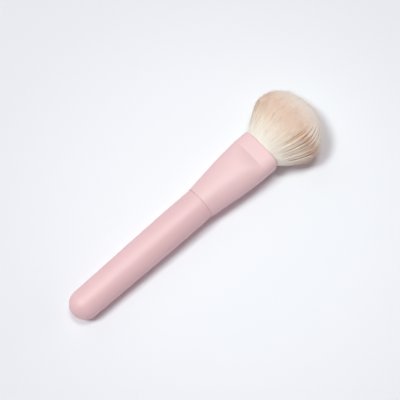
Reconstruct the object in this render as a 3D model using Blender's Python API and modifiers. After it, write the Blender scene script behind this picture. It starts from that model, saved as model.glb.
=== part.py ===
"""Makeup brush: a turned handle, a flared and pinched metal ferrule and a domed, splayed tuft.

Metres, +Z up. Each piece is modelled about the brush's own axis, +X, with zero at the seam between
handle and ferrule. At the end the whole brush is laid on the table, on its butt and its tuft.
"""

import math

import bmesh
import bpy
import numpy as np
from mathutils import Vector

# Clearance that neighbouring pieces keep
JOINT_GAP = 0.0003

# Handle
HANDLE_LENGTH = 0.0865
BUTT_DIAMETER = 0.0162
SWELL_DIAMETER = 0.0179
SWELL_SETBACK = 0.0130
SHOULDER_DIAMETER = 0.0177
SHOULDER_ROUND = 0.0004
TENON_LENGTH = 0.0150
TENON_CHAMFER = 0.0010
GROOVE_COUNT = 2
GROOVE_WIDTH = 0.0016
GROOVE_DEPTH = 0.0006
GROOVE_SPACING = 0.0045

# Ferrule
FERRULE_LENGTH = 0.0430
FERRULE_WALL = 0.00045
COLLAR_DIAMETER = 0.0182
FLARE_LENGTH = 0.0330
MOUTH_WIDTH = 0.0245
BODY_THICKNESS = 0.0190
BAND_THICKNESS = 0.0158
BAND_LENGTH = 0.0077
PINCH_LENGTH = 0.0083
RIM_BOW = 0.0006
LIP_LENGTH = 0.0008
LIP_TURN = 0.0003
EDGE_ROUND = 0.00012

# Adhesive between tenon and ferrule
GLUE_WALL = 0.0004
GLUE_SETBACK = 0.0015

# Resin block that holds the hair roots, the air space behind it, and the thread round its neck
TENON_SPACE = 0.0049
NECK_SETBACK = 0.0025
THREAD_DIAMETER = 0.0006
THREAD_PITCH = 0.0011
THREAD_TURNS = 5

# Tuft
TUFT_LENGTH = 0.0368
TUFT_WIDTH = 0.0440
TUFT_THICKNESS = 0.0256
DOME_LENGTH = 0.0205
SLICE_THICKNESS = 0.0020
ROOT_SINK = 0.0005
STRAND_COUNT = 360
WIDE_SPLAY = math.radians(38)
THIN_SPLAY = math.radians(24)

# How the forms ease along their length, as plain shares
HANDLE_START_SHARE = 0.6
FLARE_START_SHARE = 1.15
PINCH_LEAN = 1.4
ROUND_POWER = 2.0
BODY_POWER = 2.4
BAND_POWER = 3.9
NEIGHBOUR_SHARE = 0.78
ROOT_FULL_SHARE = 0.5
STRAND_SHARES = ((0.52, 0.96), (0.93, 0.84))
LENGTH_SPREAD_SHARE = 0.03

# Facets
TURN_STEPS = 40
OVAL_STEPS = 48
LOOP_STEPS = 24
BUTT_STEPS = 7
SWELL_STEPS = 7
BODY_STEPS = 6
PINCH_STEPS = 7
LIP_STEPS = 3
STRAND_SIDES = 3
GOLDEN_ANGLE = math.pi * (3 - math.sqrt(5))
BEVELLED_ANGLE = math.radians(60)
SHARP_ANGLE = math.radians(30)
MERGE_DISTANCE = 0.00001
TIP_ACCURACY = 0.000003

PINCH_START = FERRULE_LENGTH - BAND_LENGTH - PINCH_LENGTH
BAND_START = FERRULE_LENGTH - BAND_LENGTH
LIP_START = FERRULE_LENGTH - LIP_LENGTH
TENON_RADIUS = COLLAR_DIAMETER / 2 - FERRULE_WALL - GLUE_WALL - 2 * JOINT_GAP
SLICE_FRONT = LIP_START
SLICE_BACK = SLICE_FRONT - SLICE_THICKNESS
PLUG_FRONT = SLICE_BACK - JOINT_GAP
PLUG_BACK = TENON_LENGTH + TENON_SPACE
NECK_BACK = PLUG_BACK + NECK_SETBACK
NECK_FRONT = NECK_BACK + THREAD_TURNS * THREAD_PITCH + THREAD_DIAMETER + 2 * JOINT_GAP
ROOT_START = SLICE_FRONT - ROOT_SINK


def mix(first, second, share):
    return first + (second - first) * share


def clamp(share):
    return min(max(share, 0.0), 1.0)


def smooth(share):
    return share * share * (3 - 2 * share)


def eased(share, start_slope):
    """Runs from 0 to 1, leaving at the given slope and arriving level."""
    return start_slope * share * (1 - share) ** 2 + smooth(share)


def clear_scene():
    for item in list(bpy.data.objects):
        bpy.data.objects.remove(item, do_unlink=True)


def add_collection(name):
    collection = bpy.data.collections.new(name)
    bpy.context.scene.collection.children.link(collection)
    return collection


def add_object(name, data, collection):
    item = bpy.data.objects.new(name, data)
    collection.objects.link(item)
    return item


def make_finish(name, colour, roughness, metallic=0.0):
    """A plain surface finish, its colour given in linear light."""
    finish = bpy.data.materials.new(name)
    finish.use_nodes = True
    shader = finish.node_tree.nodes["Principled BSDF"]
    shader.inputs["Base Color"].default_value = (*colour, 1.0)
    shader.inputs["Roughness"].default_value = roughness
    shader.inputs["Metallic"].default_value = metallic
    return finish


def mesh_of_rings(name, rings, ends):
    """Joins rings of points along +X into a mesh, its ends capped, left open or joined in a loop."""
    mesh = bpy.data.meshes.new(name)
    shape = bmesh.new()
    rows = [[shape.verts.new(point) for point in ring] for ring in rings]
    following = rows[1:] + (rows[:1] if ends == "loop" else [])
    for row, after in zip(rows, following):
        for index in range(len(row)):
            beside = (index + 1) % len(row)
            shape.faces.new((row[index], row[beside], after[beside], after[index]))
    if ends == "caps":
        shape.faces.new(rows[0][::-1])
        shape.faces.new(rows[-1])
    shape.to_mesh(mesh)
    shape.free()
    return mesh


def oval(along, half_width, half_thickness, power=ROUND_POWER, steps=OVAL_STEPS):
    """One ring across the brush: an ellipse at power 2, squarer above it."""
    ring = []
    for step in range(steps):
        angle = math.tau * step / steps
        across = math.copysign(abs(math.cos(angle)) ** (2 / power), math.cos(angle))
        upward = math.copysign(abs(math.sin(angle)) ** (2 / power), math.sin(angle))
        ring.append(Vector((along, half_width * across, half_thickness * upward)))
    return ring


def ferrule_sizes(along):
    """The ferrule's outer half width, half thickness and squareness at a distance from the seam."""
    flare = eased(clamp(along / FLARE_LENGTH), FLARE_START_SHARE)
    body = clamp(along / PINCH_START)
    pinch = smooth(clamp((along - PINCH_START) / PINCH_LENGTH) ** PINCH_LEAN)
    lip = clamp((along - LIP_START) / LIP_LENGTH)
    turn = LIP_TURN * (1 - math.sqrt(1 - lip * lip))
    width = mix(COLLAR_DIAMETER, MOUTH_WIDTH, flare)
    thickness = mix(mix(COLLAR_DIAMETER, BODY_THICKNESS, smooth(body)), BAND_THICKNESS, pinch)
    power = mix(mix(ROUND_POWER, BODY_POWER, body * body), BAND_POWER, pinch)
    return width / 2 - turn, thickness / 2 - turn, power


def ferrule_stations():
    """Where the ferrule has a ring, closer together where it bends."""
    body = [PINCH_START * step / BODY_STEPS for step in range(BODY_STEPS)]
    pinch = [PINCH_START + PINCH_LENGTH * step / PINCH_STEPS for step in range(PINCH_STEPS + 1)]
    quarter_turn = math.pi / 2
    lip = [
        LIP_START + LIP_LENGTH * math.sin(quarter_turn * step / LIP_STEPS)
        for step in range(LIP_STEPS + 1)
    ]
    return body + pinch + lip


def oval_inside_ferrule(along, clearance=JOINT_GAP):
    """The section that clears the ferrule's inner wall."""
    half_width, half_thickness, power = ferrule_sizes(along)
    inset = FERRULE_WALL + clearance
    return oval(along, half_width - inset, half_thickness - inset, power)


def handle_profile():
    """Radius and distance from the seam, from the tenon's end down to the butt's tip."""
    outline = [
        (0.0, TENON_LENGTH),
        (TENON_RADIUS - TENON_CHAMFER, TENON_LENGTH),
        (TENON_RADIUS, TENON_LENGTH - TENON_CHAMFER),
    ]
    for groove in range(GROOVE_COUNT):
        middle = TENON_LENGTH - GROOVE_SPACING * (groove + 1)
        edge = GROOVE_WIDTH / 2
        outline += [
            (TENON_RADIUS, middle + edge),
            (TENON_RADIUS - GROOVE_DEPTH, middle + edge / 2),
            (TENON_RADIUS - GROOVE_DEPTH, middle - edge / 2),
            (TENON_RADIUS, middle - edge),
        ]
    shoulder = SHOULDER_DIAMETER / 2
    butt = BUTT_DIAMETER / 2
    swell = SWELL_DIAMETER / 2
    butt_centre = butt - HANDLE_LENGTH
    outline += [
        (TENON_RADIUS, -JOINT_GAP),
        (shoulder - SHOULDER_ROUND, -JOINT_GAP),
        (shoulder, -JOINT_GAP - SHOULDER_ROUND),
    ]
    for step in range(1, SWELL_STEPS):
        share = step / SWELL_STEPS
        outline.append((mix(swell, shoulder, (1 - share) ** 2), -SWELL_SETBACK * share))
    for step in range(SWELL_STEPS):
        share = 1 - step / SWELL_STEPS
        along = mix(butt_centre, -SWELL_SETBACK, share)
        outline.append((mix(butt, swell, eased(share, HANDLE_START_SHARE)), along))
    for step in range(BUTT_STEPS):
        angle = math.pi / 2 * step / BUTT_STEPS
        outline.append((butt * math.cos(angle), butt_centre - butt * math.sin(angle)))
    outline.append((0.0, -HANDLE_LENGTH))
    return outline


def build_handle(parts):
    """The handle is turned: its profile goes round the brush's axis."""
    outline = handle_profile()
    mesh = bpy.data.meshes.new("handle")
    points = [(radius, 0.0, along) for radius, along in outline]
    edges = [(index, index + 1) for index in range(len(points) - 1)]
    mesh.from_pydata(points, edges, [])
    handle = add_object("handle", mesh, parts)
    turn = handle.modifiers.new("turned", "SCREW")
    turn.steps = TURN_STEPS
    turn.render_steps = TURN_STEPS
    turn.use_merge_vertices = True
    turn.merge_threshold = MERGE_DISTANCE
    turn.use_smooth_shade = True
    handle.rotation_euler = (0.0, math.pi / 2, 0.0)
    handle.data.materials.append(make_finish("satin_pink_lacquer", (0.80, 0.56, 0.58), 0.42))
    return handle


def build_ferrule(parts):
    """A drawn shell: a loft from the round collar to the pinched oval mouth, given its wall."""
    rings = []
    for along in ferrule_stations():
        half_width, half_thickness, power = ferrule_sizes(along)
        bow = RIM_BOW * clamp((along - BAND_START) / BAND_LENGTH)
        ring = oval(along, half_width, half_thickness, power)
        for point in ring:
            point.x += bow * (point.z / half_thickness) ** 2
        rings.append(ring)
    ferrule = add_object("ferrule", mesh_of_rings("ferrule", rings, "open"), parts)
    wall = ferrule.modifiers.new("wall", "SOLIDIFY")
    wall.thickness = FERRULE_WALL
    wall.offset = -1.0
    wall.use_even_offset = True
    edges = ferrule.modifiers.new("broken_edges", "BEVEL")
    edges.width = EDGE_ROUND
    edges.segments = 1
    edges.limit_method = "ANGLE"
    edges.angle_limit = BEVELLED_ANGLE
    ferrule.data.materials.append(make_finish("satin_pink_metal", (0.84, 0.60, 0.61), 0.34, 0.35))
    return ferrule


def build_handle_glue(parts):
    """Adhesive fills the wedge between the round tenon and the flaring ferrule."""
    inner = TENON_RADIUS + JOINT_GAP
    back = GLUE_SETBACK
    front = TENON_LENGTH - TENON_CHAMFER - GLUE_SETBACK
    middle = (back + front) / 2
    rings = [oval_inside_ferrule(along) for along in (back, middle, front)]
    rings += [oval(front, inner, inner), oval(back, inner, inner)]
    glue = add_object("handle_glue", mesh_of_rings("handle_glue", rings, "loop"), parts)
    glue.data.materials.append(make_finish("amber_adhesive", (0.62, 0.48, 0.25), 0.35))
    return glue


def thread_half_sizes():
    """The oval that the middle of the thread follows, inside every ferrule section that it crosses."""
    crossed = [NECK_BACK, NECK_FRONT]
    crossed += [along for along in ferrule_stations() if NECK_BACK < along < NECK_FRONT]
    half_width = min(ferrule_sizes(along)[0] for along in crossed)
    half_thickness = min(ferrule_sizes(along)[1] for along in crossed)
    inset = FERRULE_WALL + JOINT_GAP + THREAD_DIAMETER / 2
    return half_width - inset, half_thickness - inset


def build_root_plug(parts):
    """The resin block fills the ferrule behind the tuft, with a neck where the thread lies."""
    half_width, half_thickness = thread_half_sizes()
    inset = THREAD_DIAMETER / 2 + JOINT_GAP
    rings = [
        oval_inside_ferrule(PLUG_BACK),
        oval_inside_ferrule(NECK_BACK),
        oval(NECK_BACK, half_width - inset, half_thickness - inset),
        oval(NECK_FRONT, half_width - inset, half_thickness - inset),
        oval_inside_ferrule(NECK_FRONT),
    ]
    between = [along for along in ferrule_stations() if NECK_FRONT < along < PLUG_FRONT]
    rings += [oval_inside_ferrule(along) for along in between + [PLUG_FRONT]]
    plug = add_object("root_plug", mesh_of_rings("root_plug", rings, "caps"), parts)
    plug.data.materials.append(make_finish("clear_amber_resin", (0.70, 0.58, 0.36), 0.25))
    return plug


def least_gap_to_itself(points, diameter, apart):
    """Least gap between turns, measured between points at least the given number of steps apart."""
    places = np.array(points)
    least = math.inf
    for step in range(apart, len(places)):
        lengths = np.linalg.norm(places[step:] - places[:-step], axis=1)
        least = min(least, float(lengths.min()))
    return least - diameter


def build_root_binding(parts):
    """One unbroken thread wound round the neck of the resin block."""
    half_width, half_thickness = thread_half_sizes()
    start = NECK_BACK + JOINT_GAP + THREAD_DIAMETER / 2
    points = []
    for step in range(THREAD_TURNS * LOOP_STEPS + 1):
        angle = math.tau * step / LOOP_STEPS
        along = start + THREAD_PITCH * step / LOOP_STEPS
        points.append((along, half_width * math.cos(angle), half_thickness * math.sin(angle)))
    curve = bpy.data.curves.new("root_binding", "CURVE")
    curve.dimensions = "3D"
    curve.bevel_depth = THREAD_DIAMETER / 2
    curve.bevel_resolution = 1
    curve.use_fill_caps = True
    spline = curve.splines.new("POLY")
    spline.points.add(len(points) - 1)
    for place, point in zip(spline.points, points):
        place.co = (*point, 1.0)
    gap = least_gap_to_itself(points, THREAD_DIAMETER, LOOP_STEPS // 2)
    print(f"root_binding: least gap to itself {gap * 1000:.2f} mm")
    binding = add_object("root_binding", curve, parts)
    binding.data.materials.append(make_finish("waxed_thread", (0.72, 0.66, 0.52), 0.8))
    return binding


def neighbour_radius():
    """Half the least spacing of the strands, where the whole bundle has radius 1."""
    return NEIGHBOUR_SHARE / math.sqrt(STRAND_COUNT)


def bundle_curve(lip_half_size, full_half_size, splay, lip_end):
    """How far a strand at the edge lies from the axis, as a function of its distance from its root."""
    radius = neighbour_radius()
    slope = math.tan(splay)
    root = (lip_half_size - JOINT_GAP) / (1 + radius) - slope * (lip_end - ROOT_START)
    reach = FERRULE_LENGTH + TUFT_LENGTH - DOME_LENGTH - ROOT_START
    full = full_half_size / (1 + radius)
    bend = (root + slope * reach - full) / reach**2
    return lambda run: root + slope * run - bend * run**2


def strand_end(across, upward, wide, thin):
    """How far from its root a strand meets the dome, found by halving."""
    widest = FERRULE_LENGTH + TUFT_LENGTH - DOME_LENGTH - ROOT_START
    low = 0.0
    high = widest + DOME_LENGTH
    while high - low > TIP_ACCURACY:
        run = (low + high) / 2
        rise = max(run - widest, 0.0) / DOME_LENGTH
        side = across * wide(run) / (TUFT_WIDTH / 2)
        face = upward * thin(run) / (TUFT_THICKNESS / 2)
        if rise**2 + side**2 + face**2 < 1:
            low = run
        else:
            high = run
    return low


def add_strand(shape, across, upward, angle, length, wide, thin):
    """One strand: it widens from its root, then narrows to a point on the dome."""
    rows = []
    for length_share, full_share in ((0.0, ROOT_FULL_SHARE), *STRAND_SHARES):
        run = length * length_share
        radius = neighbour_radius() * full_share
        row = []
        for side in range(STRAND_SIDES):
            turn = angle + math.tau * side / STRAND_SIDES
            y = wide(run) * (across + radius * math.cos(turn))
            z = thin(run) * (upward + radius * math.sin(turn))
            row.append(shape.verts.new((ROOT_START + run, y, z)))
        rows.append(row)
    tip = shape.verts.new((ROOT_START + length, wide(length) * across, thin(length) * upward))
    shape.faces.new(rows[0][::-1])
    for row, after in zip(rows, rows[1:]):
        for side in range(STRAND_SIDES):
            beside = (side + 1) % STRAND_SIDES
            shape.faces.new((row[side], row[beside], after[beside], after[side]))
    for side in range(STRAND_SIDES):
        shape.faces.new((rows[-1][side], rows[-1][(side + 1) % STRAND_SIDES], tip))


def build_strands(helpers):
    """The hair as strands, rooted in a sunflower pattern and splayed so that none crosses another."""
    half_width, half_thickness, _ = ferrule_sizes(FERRULE_LENGTH)
    lip_width = half_width - FERRULE_WALL
    lip_thickness = half_thickness - FERRULE_WALL
    bowed_end = FERRULE_LENGTH + RIM_BOW
    wide = bundle_curve(lip_width, TUFT_WIDTH / 2, WIDE_SPLAY, FERRULE_LENGTH)
    thin = bundle_curve(lip_thickness, TUFT_THICKNESS / 2, THIN_SPLAY, bowed_end)
    shape = bmesh.new()
    places = []
    for number in range(STRAND_COUNT):
        radius = math.sqrt((number + 0.5) / STRAND_COUNT)
        angle = GOLDEN_ANGLE * number
        across = radius * math.cos(angle)
        upward = radius * math.sin(angle)
        uneven = LENGTH_SPREAD_SHARE * (math.sin(number * number) + 1) / 2
        length = strand_end(across, upward, wide, thin) * (1 - uneven)
        add_strand(shape, across, upward, angle, length, wide, thin)
        places.append((across, upward))
    mesh = bpy.data.meshes.new("strands")
    shape.to_mesh(mesh)
    shape.free()
    fullest = max(full_share for _, full_share in STRAND_SHARES)
    gap = least_spacing(places) - 2 * neighbour_radius() * fullest
    print(f"tuft: least gap between strands {gap * thin(0.0) * 1000:.3f} mm, above 0, so none crosses")
    return add_object("strands", mesh, helpers)


def least_spacing(places):
    """The least spacing of the strands. They keep their pattern all along, so one section shows it."""
    spots = np.array(places)
    lengths = np.linalg.norm(spots[:, None] - spots[None], axis=2)
    lengths[np.diag_indices(len(spots))] = math.inf
    return lengths.min()


def build_tuft(parts, helpers):
    """The strands, fused to the slice of resin that their roots stand in."""
    rings = [oval_inside_ferrule(SLICE_BACK), oval_inside_ferrule(SLICE_FRONT)]
    tuft = add_object("tuft", mesh_of_rings("tuft", rings, "caps"), parts)
    strands = build_strands(helpers)
    strands.hide_render = True
    strands.display_type = "WIRE"
    rooted = tuft.modifiers.new("strands", "BOOLEAN")
    rooted.operation = "UNION"
    rooted.solver = "EXACT"
    rooted.object = strands
    tuft.data.materials.append(make_finish("soft_cream_hair", (0.80, 0.69, 0.55), 0.75))
    return tuft, strands


def world_points(pieces):
    """Every corner of the finished pieces, in the world."""
    bpy.context.view_layer.update()
    graph = bpy.context.evaluated_depsgraph_get()
    found = []
    for piece in pieces:
        finished = piece.evaluated_get(graph)
        mesh = finished.to_mesh()
        found += [finished.matrix_world @ corner.co for corner in mesh.vertices]
        finished.to_mesh_clear()
    return found


def lower_outline(points):
    """The lower side of the brush as seen from the side, as a string pulled tight under it."""
    outline = []
    for along, height in sorted({(point.x, point.z) for point in points}):
        while len(outline) > 1:
            (first_x, first_z), (last_x, last_z) = outline[-2:]
            if (last_x - first_x) * (height - first_z) > (last_z - first_z) * (along - first_x):
                break
            outline.pop()
        outline.append((along, height))
    return outline


def lay_on_table(carrier, pieces):
    """Tilts the brush until butt and tuft both touch the table, and centres it over the origin."""
    outline = lower_outline(world_points(pieces))
    spans = zip(outline, outline[1:])
    (back_x, back_z), (front_x, front_z) = max(spans, key=lambda span: span[1][0] - span[0][0])
    carrier.rotation_euler = (0.0, math.atan2(front_z - back_z, front_x - back_x), 0.0)
    points = np.array(world_points(pieces))
    low = points.min(axis=0)
    high = points.max(axis=0)
    carrier.location = (-(low[0] + high[0]) / 2, -(low[1] + high[1]) / 2, -low[2])


def shade_round_pieces(pieces):
    for piece in pieces:
        if piece.type == "MESH":
            piece.data.shade_smooth()
            piece.data.set_sharp_from_angle(angle=SHARP_ANGLE)


def main():
    clear_scene()
    parts = add_collection("makeup_brush")
    helpers = add_collection("helpers")
    tuft, strands = build_tuft(parts, helpers)
    pieces = [
        build_handle(parts),
        build_ferrule(parts),
        build_handle_glue(parts),
        build_root_plug(parts),
        build_root_binding(parts),
        tuft,
    ]
    carrier = add_object("brush_axis", None, parts)
    for piece in (*pieces, strands):
        piece.parent = carrier
    shade_round_pieces(pieces)
    lay_on_table(carrier, pieces)


main()
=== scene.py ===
"""The looks of a makeup brush: a lacquered handle, a pinched metal ferrule and a splayed tuft of hair.

Every piece is shaped about the brush's own axis: along it from the seam between handle and ferrule,
across it and up. At the end each mesh is laid on the table, where the packed model lies.
"""

import math
from functools import partialmethod

import bmesh
import bpy
import numpy as np
from bpy.props import FloatProperty, FloatVectorProperty, IntProperty, PointerProperty
from mathutils import Matrix, Vector


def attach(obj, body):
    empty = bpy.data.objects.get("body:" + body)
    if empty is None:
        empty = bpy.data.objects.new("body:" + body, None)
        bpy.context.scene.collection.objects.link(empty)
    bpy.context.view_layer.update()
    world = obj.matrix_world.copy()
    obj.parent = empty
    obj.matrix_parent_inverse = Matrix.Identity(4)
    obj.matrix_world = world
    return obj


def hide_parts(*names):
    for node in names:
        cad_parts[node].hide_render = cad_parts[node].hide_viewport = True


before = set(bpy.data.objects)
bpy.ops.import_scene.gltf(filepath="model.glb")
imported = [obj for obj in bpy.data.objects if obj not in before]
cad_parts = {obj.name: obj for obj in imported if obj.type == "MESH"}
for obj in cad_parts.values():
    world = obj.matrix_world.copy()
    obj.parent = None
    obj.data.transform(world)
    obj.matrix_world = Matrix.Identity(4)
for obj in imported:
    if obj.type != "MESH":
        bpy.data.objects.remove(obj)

bl_info = {
    "name": "Makeup Brush",
    "version": (1, 0, 0),
    "blender": (4, 5, 0),
    "location": "View3D > Sidebar > Brush",
    "description": "Builds a makeup brush from named sizes and colours",
    "category": "Object",
}

BODY = "root"
HAIR_MAP = "OFBake"

# How far from its round end the ferrule counts as the collar
COLLAR_LENGTH = 0.001
# Points closer than this are joined
SHEET_JOIN = 2e-6
OUTLINE_JOIN = 1e-7
# Steps round the handle, and along its outline part by part
HANDLE_STEPS = 144
SHOULDER_STEPS = 6
SWELL_STEPS = 16
TAPER_STEPS = 48
BUTT_STEPS = 26
SHARP_EDGE = math.radians(35)
# Shares of the walk over the ferrule's sheet: out to the lip, round it, and back to the collar
LIP_START = 0.49
LIP_END = 0.51
COLLAR_START = 0.98
# Shares of the walk over the core's sheet: its flat base, and its side up to the dome
BASE_END = 0.05
SIDE_END = 0.65
# Steps round the slice of resin at the mouth
BED_STEPS = 96
# From one hair to the next, as the seeds of a sunflower stand
SUNFLOWER_TURN = math.pi * (3 - math.sqrt(5))
# Shares of the bundle's radius under this count as this, so that none is 0
LEAST_RADIUS = 0.001
# Added to the seed: for the locks, and for the six chances of each hair
LOCK_SEED = 3.0
HAIR_SEEDS = (11.0, 12.0, 13.0, 14.0, 15.0, 16.0)
# The floor's radius in picture widths, and the steps round it
FLOOR_REACH = 20
FLOOR_STEPS = 96


# Where the brush lies


def corners(node):
    """The corners of a packed node, each once."""
    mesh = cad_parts[node].data
    flat = np.empty(len(mesh.vertices) * 3, np.float32)
    mesh.vertices.foreach_get("co", flat)
    return np.unique(flat.reshape(-1, 3), axis=0).astype(float)


def find_place():
    """From the brush's own directions to the table: its axis is the handle's, its zero the seam."""
    handle = corners("handle")
    middle = handle.mean(axis=0)
    _, _, directions = np.linalg.svd(handle - middle, full_matrices=False)
    along = Vector(directions[0]) * math.copysign(1.0, directions[0][0])
    across = Vector((0.0, 0.0, 1.0)).cross(along).normalized()
    up = along.cross(across)
    start = ((corners("ferrule") - middle) @ np.array(along)).min()
    seam = Vector(middle) + along * start
    turn = Matrix((along, across, up)).transposed()
    return Matrix.Translation(seam) @ turn.to_4x4()


PLACE = find_place()
BACK = PLACE.inverted()


def own_corners(node):
    """The corners of a packed node in the brush's own directions."""
    turned = corners(node) @ np.array(BACK.to_3x3()).T
    return turned + np.array(BACK.translation)


def turned_radii(points):
    return np.hypot(points[:, 1], points[:, 2])


HANDLE = own_corners("handle")
FERRULE = own_corners("ferrule")
HANDLE_LENGTH = -float(HANDLE[:, 0].min())
TENON_LENGTH = float(HANDLE[:, 0].max())
TENON_DIAMETER = 2 * float(turned_radii(HANDLE[HANDLE[:, 0] > 0]).max())
SWELL_DIAMETER = 2 * float(turned_radii(HANDLE).max())
RIM_REACH = float(FERRULE[:, 0].max())
COLLAR_DIAMETER = 2 * float(turned_radii(FERRULE[FERRULE[:, 0] < COLLAR_LENGTH]).max())
MOUTH_WIDTH = 2 * float(np.abs(FERRULE[:, 1]).max())
BODY_THICKNESS = 2 * float(np.abs(FERRULE[:, 2]).max())


# Sizes and colours that a user may change


def length(name, description, default):
    return FloatProperty(name=name, description=description, default=default, unit="LENGTH", precision=5)


def angle(name, description, degrees):
    return FloatProperty(
        name=name, description=description, default=math.radians(degrees), subtype="ANGLE"
    )


def share(name, description, default):
    return FloatProperty(name=name, description=description, default=default, precision=3)


def colour(name, description, default):
    """A colour as the eye reads it on a screen, each channel from 0 to 255."""
    linear = [screen_to_light(channel / 255) for channel in default]
    return FloatVectorProperty(
        name=name, description=description, default=linear, subtype="COLOR", min=0.0, max=1.0
    )


def screen_to_light(channel):
    return channel / 12.92 if channel <= 0.04045 else ((channel + 0.055) / 1.055) ** 2.4


class HandleSizes(bpy.types.PropertyGroup):
    """Sizes of the turned handle."""

    length: length("Length", "Seam to the tip of the butt", HANDLE_LENGTH)
    butt_diameter: length("Butt diameter", "Round end of the handle", 0.0162)
    swell_diameter: length("Swell diameter", "Thickest place, just behind the seam", SWELL_DIAMETER)
    swell_setback: length("Swell setback", "Seam to the thickest place", 0.0130)
    shoulder_diameter: length("Shoulder diameter", "Handle beside the ferrule", 0.0177)
    shoulder_round: length("Shoulder round", "Rounded edge beside the seam", 0.00012)
    seam_gap: length("Seam gap", "Open joint between handle and ferrule", 0.00004)
    tenon_length: length("Tenon length", "Peg inside the ferrule", TENON_LENGTH)
    tenon_diameter: length("Tenon diameter", "Peg inside the ferrule", TENON_DIAMETER)
    tenon_chamfer: length("Tenon chamfer", "Slant at the end of the peg", 0.0010)
    groove_spacing: length("Groove spacing", "Between the glue grooves of the peg", 0.0045)
    groove_width: length("Groove width", "Glue groove of the peg", 0.0016)
    groove_depth: length("Groove depth", "Glue groove of the peg", 0.0006)
    groove_count: IntProperty(name="Grooves", description="Glue grooves of the peg", default=2, min=0)
    start_share: share("Taper start", "Slope of the taper at the butt", 0.6)


class FerruleSizes(bpy.types.PropertyGroup):
    """Sizes of the drawn and pinched metal shell."""

    wall: length("Wall", "Thickness of the metal", 0.00045)
    edge_round: length("Edge round", "Rounded edge at the collar's end", 0.00009)
    collar_diameter: length("Collar diameter", "Round end at the handle", COLLAR_DIAMETER)
    flare_length: length("Flare length", "Over which the shell widens", 0.0330)
    mouth_width: length("Mouth width", "Wide side of the mouth", MOUTH_WIDTH)
    body_thickness: length("Body thickness", "Shell behind the pinch", BODY_THICKNESS)
    band_thickness: length("Band thickness", "Pinched band at the mouth", 0.0158)
    band_length: length("Band length", "Pinched band at the mouth", 0.0077)
    pinch_length: length("Pinch length", "Slope down to the band", 0.0083)
    rim_bow: length("Rim bow", "How far the mouth bulges at its flat sides", 0.0006)
    lip_length: length("Lip length", "Turned-in edge of the mouth", 0.0008)
    lip_turn: length("Lip turn", "How far the edge turns in", 0.0003)
    flare_start_share: share("Flare start", "Slope of the flare at the collar", 1.15)
    pinch_lean: share("Pinch lean", "Above 1, the pinch is steeper near the band", 1.8)
    band_crease: share("Band crease", "0 is a soft start of the band, 1 a sharp one", 0.8)
    body_power: share("Body squareness", "2 is an ellipse, more is squarer", 2.4)
    band_power: share("Band squareness", "2 is an ellipse, more is squarer", 3.9)


class TuftSizes(bpy.types.PropertyGroup):
    """Sizes of the tuft and of its hairs."""

    length: length("Length", "Mouth to the top of the dome", 0.0371)
    width: length("Width", "Widest place of the tuft", 0.0446)
    thickness: length("Thickness", "Thickest place of the tuft", 0.0252)
    dome_length: length("Dome length", "Rounded end of the tuft past its widest place", 0.0180)
    shoulder: angle("Shoulder", "How far the dome turns in again under its widest place", 9)
    root_setback: length("Root setback", "How deep in the mouth the roots stand", 0.0013)
    bed_thickness: length("Bed thickness", "Slice of resin that holds the roots", 0.0020)
    clearance: length("Clearance", "Hair to ferrule", 0.00015)
    hair_diameter: length("Hair diameter", "One hair at its thickest", 0.00004)
    wide_splay: angle("Wide splay", "Lean of the outermost side hairs", 39)
    thin_splay: angle("Thin splay", "Lean of the outermost top hairs", 24)
    used_side_splay: share("Used side's splay", "How much sooner the used side spreads", 0.20)
    skew: share("Skew", "How much longer the unused side stands", 0.045)
    raggedness: share("Raggedness", "Unevenness of the tip hairs' length", 0.100)
    tip_reach: share("Tip reach", "How far the longest tips stand past the dome", 0.058)
    side_reach: share("Side reach", "How far the longest side hairs lie over the dome", 0.065)
    side_raggedness: share("Side raggedness", "Unevenness of the side hairs' length", 0.16)
    fine_scale: share("Fine strands", "Strands over half the tuft's width", 26.0)
    fine_pull: share("Fine draw", "How strongly neighbouring hairs draw together", 0.22)
    lock_scale: share("Locks", "Locks over half the tuft's width", 12.0)
    coarse_pull: share("Lock draw", "How strongly the whole tuft parts into locks", 0.02)
    parted_pull: share("Parted side", "Stronger locks on the side that has been used", 0.72)
    wander: share("Wander", "How far hairs stray from their path", 0.015)
    core_radius: share("Core radius", "Pressed mass of hair, as a share of the bundle", 0.983)
    core_hollow: share("Core hollow", "How much thinner the core is on the parted side", 0.035)
    core_share: share("Core length", "Pressed mass of hair, as a share of the hairs' length", 0.982)
    tip_start_share: share("Tip start", "Where the tip hairs leave the core", 0.86)
    seed: IntProperty(name="Seed", description="Another number makes another tuft", default=7)


class BrushColours(bpy.types.PropertyGroup):
    """Colours of the finishes."""

    lacquer: colour("Lacquer", "Handle", (231, 190, 193))
    metal: colour("Painted metal", "Ferrule", (234, 196, 198))
    root_hair: colour("Hair at the root", "Cream", (248, 239, 227))
    middle_hair: colour("Hair at the middle", "Beige", (250, 233, 215))
    dyed_hair: colour("Dyed hair", "Rosy tan", (233, 203, 182))
    # Pale tips: partly the hair's own colour, partly painted light shining through the thin tips
    tip_hair: colour("Hair at the tip", "Pale", (253, 241, 230))
    resin: colour("Resin", "Block that holds the roots", (222, 200, 160))
    adhesive: colour("Adhesive", "Between peg and ferrule", (208, 182, 134))
    thread: colour("Thread", "Round the resin block", (222, 213, 190))
    floor: colour("Floor", "Paper under the brush", (245, 247, 251))
    # Painted shade: the paper at the picture's corners, where the painted pool of light has faded
    floor_in_painted_shade: colour("Floor edge", "Paper at the picture's corners", (232, 232, 238))
    sky: colour("Surroundings", "What lies past the floor", (246, 247, 252))
    fill: colour("Fill light", "What the surroundings give back", (255, 204, 219))
    lamp: colour("Lamps", "Light of the lamps", (243, 255, 252))


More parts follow.
